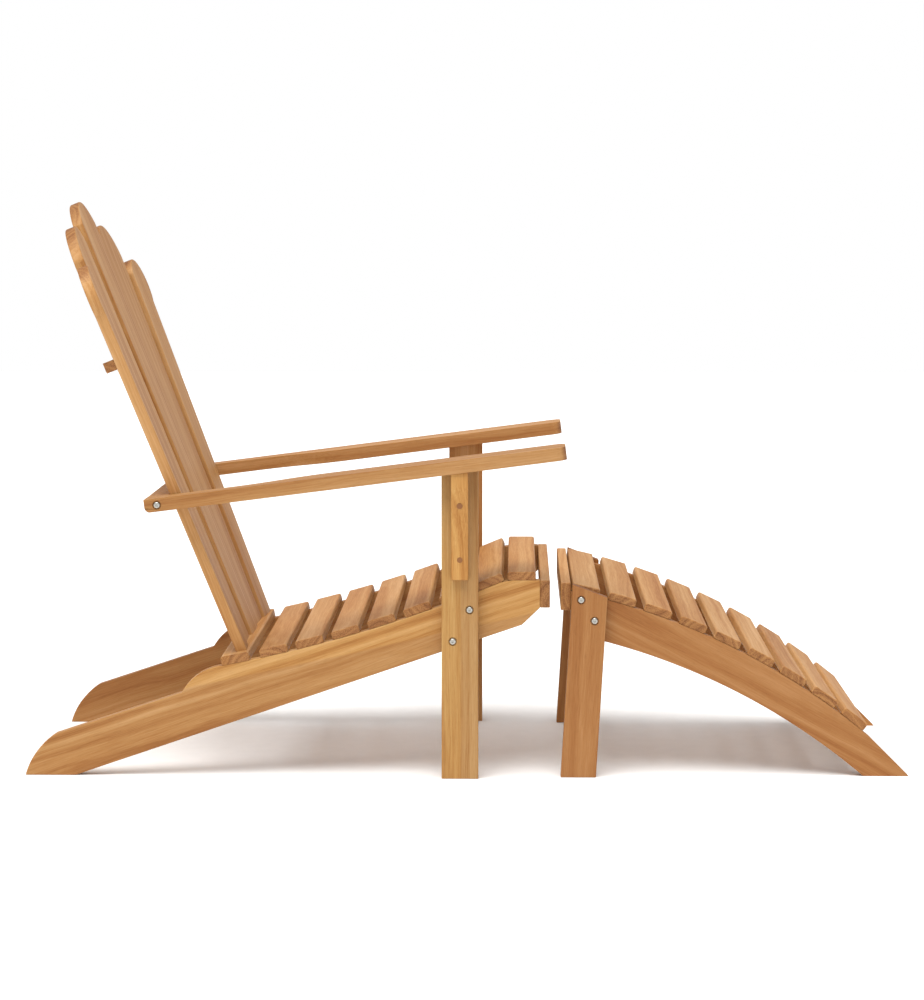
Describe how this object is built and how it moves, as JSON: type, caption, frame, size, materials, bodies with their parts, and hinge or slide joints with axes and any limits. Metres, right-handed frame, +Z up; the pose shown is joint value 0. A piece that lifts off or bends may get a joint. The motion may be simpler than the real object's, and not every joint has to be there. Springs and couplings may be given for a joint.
{
  "type": "adirondack chair",
  "caption": "Low wooden garden chair with a fanned slatted back, sloping slatted seat, wide flat arms and a separate arched slatted footrest.",
  "frame": {"origin": "middle of the footprint of the chair and its footrest together, on the ground", "axes": "+X forward from the chair towards the footrest, +Y to the sitter's left, +Z up"},
  "size_m": [1.481, 0.6766, 0.9582],
  "materials": {
    "apron_plugs": "teak plug, fine-sanded",
    "apron_screws": "stainless steel, satin",
    "arm_barrel_nuts": "stainless steel, satin",
    "arm_bolts": "stainless steel, satin",
    "arm_bracket_left": "teak, fine-sanded",
    "arm_bracket_right": "teak, fine-sanded",
    "arm_crossbar": "teak, fine-sanded",
    "arm_left": "teak, fine-sanded",
    "arm_plugs": "teak plug, fine-sanded",
    "arm_right": "teak, fine-sanded",
    "arm_screws": "stainless steel, satin",
    "back_foot_rail": "teak, fine-sanded",
    "back_screws": "stainless steel, satin",
    "back_slat_1": "teak, fine-sanded",
    "back_slat_2": "teak, fine-sanded",
    "back_slat_3": "teak, fine-sanded",
    "back_slat_4": "teak, fine-sanded",
    "back_slat_5": "teak, fine-sanded",
    "back_top_batten": "teak, fine-sanded",
    "bracket_plugs": "teak plug, fine-sanded",
    "bracket_screws": "stainless steel, satin",
    "footrest_apron": "teak, fine-sanded",
    "footrest_apron_plugs": "teak plug, fine-sanded",
    "footrest_apron_screws": "stainless steel, satin",
    "footrest_bolts": "stainless steel, satin",
    "footrest_leg_left": "teak, fine-sanded",
    "footrest_leg_right": "teak, fine-sanded",
    "footrest_nuts": "stainless steel, satin",
    "footrest_rail_left": "teak, fine-sanded",
    "footrest_rail_right": "teak, fine-sanded",
    "footrest_slat_1": "teak, fine-sanded",
    "footrest_slat_2": "teak, fine-sanded",
    "footrest_slat_3": "teak, fine-sanded",
    "footrest_slat_4": "teak, fine-sanded",
    "footrest_slat_5": "teak, fine-sanded",
    "footrest_slat_6": "teak, fine-sanded",
    "footrest_slat_7": "teak, fine-sanded",
    "footrest_slat_8": "teak, fine-sanded",
    "footrest_slat_9": "teak, fine-sanded",
    "footrest_slat_plugs": "teak plug, fine-sanded",
    "footrest_slat_screws": "stainless steel, satin",
    "front_apron": "teak, fine-sanded",
    "front_leg_left": "teak, fine-sanded",
    "front_leg_right": "teak, fine-sanded",
    "leg_bolts": "stainless steel, satin",
    "leg_nuts": "stainless steel, satin",
    "seat_slat_1": "teak, fine-sanded",
    "seat_slat_2": "teak, fine-sanded",
    "seat_slat_3": "teak, fine-sanded",
    "seat_slat_4": "teak, fine-sanded",
    "seat_slat_5": "teak, fine-sanded",
    "seat_slat_6": "teak, fine-sanded",
    "seat_slat_7": "teak, fine-sanded",
    "seat_slat_8": "teak, fine-sanded",
    "seat_slat_plugs": "teak plug, fine-sanded",
    "seat_slat_screws": "stainless steel, satin",
    "side_rail_left": "teak, fine-sanded",
    "side_rail_right": "teak, fine-sanded"
  },
  "bodies": {
    "chair": {"apron_plugs": "apron_plugs", "apron_screws": "apron_screws", "arm_barrel_nuts": "arm_barrel_nuts", "arm_bolts": "arm_bolts", "arm_bracket_left": "arm_bracket_left", "arm_bracket_right": "arm_bracket_right", "arm_crossbar": "arm_crossbar", "arm_left": "arm_left", "arm_plugs": "arm_plugs", "arm_right": "arm_right", "arm_screws": "arm_screws", "back_foot_rail": "back_foot_rail", "back_screws": "back_screws", "back_slat_1": "back_slat_1", "back_slat_2": "back_slat_2", "back_slat_3": "back_slat_3", "back_slat_4": "back_slat_4", "back_slat_5": "back_slat_5", "back_top_batten": "back_top_batten", "bracket_plugs": "bracket_plugs", "bracket_screws": "bracket_screws", "front_apron": "front_apron", "front_leg_left": "front_leg_left", "front_leg_right": "front_leg_right", "leg_bolts": "leg_bolts", "leg_nuts": "leg_nuts", "seat_slat_1": "seat_slat_1", "seat_slat_2": "seat_slat_2", "seat_slat_3": "seat_slat_3", "seat_slat_4": "seat_slat_4", "seat_slat_5": "seat_slat_5", "seat_slat_6": "seat_slat_6", "seat_slat_7": "seat_slat_7", "seat_slat_8": "seat_slat_8", "seat_slat_plugs": "seat_slat_plugs", "seat_slat_screws": "seat_slat_screws", "side_rail_left": "side_rail_left", "side_rail_right": "side_rail_right"},
    "footrest": {"footrest_apron": "footrest_apron", "footrest_apron_plugs": "footrest_apron_plugs", "footrest_apron_screws": "footrest_apron_screws", "footrest_bolts": "footrest_bolts", "footrest_leg_left": "footrest_leg_left", "footrest_leg_right": "footrest_leg_right", "footrest_nuts": "footrest_nuts", "footrest_rail_left": "footrest_rail_left", "footrest_rail_right": "footrest_rail_right", "footrest_slat_1": "footrest_slat_1", "footrest_slat_2": "footrest_slat_2", "footrest_slat_3": "footrest_slat_3", "footrest_slat_4": "footrest_slat_4", "footrest_slat_5": "footrest_slat_5", "footrest_slat_6": "footrest_slat_6", "footrest_slat_7": "footrest_slat_7", "footrest_slat_8": "footrest_slat_8", "footrest_slat_9": "footrest_slat_9", "footrest_slat_plugs": "footrest_slat_plugs", "footrest_slat_screws": "footrest_slat_screws"}
  },
  "joints": [
    {"name": "footrest_slide", "type": "slide", "parent": "chair", "child": "footrest", "axis": [1, 0, 0], "range_m": [0, 0.4]}
  ]
}
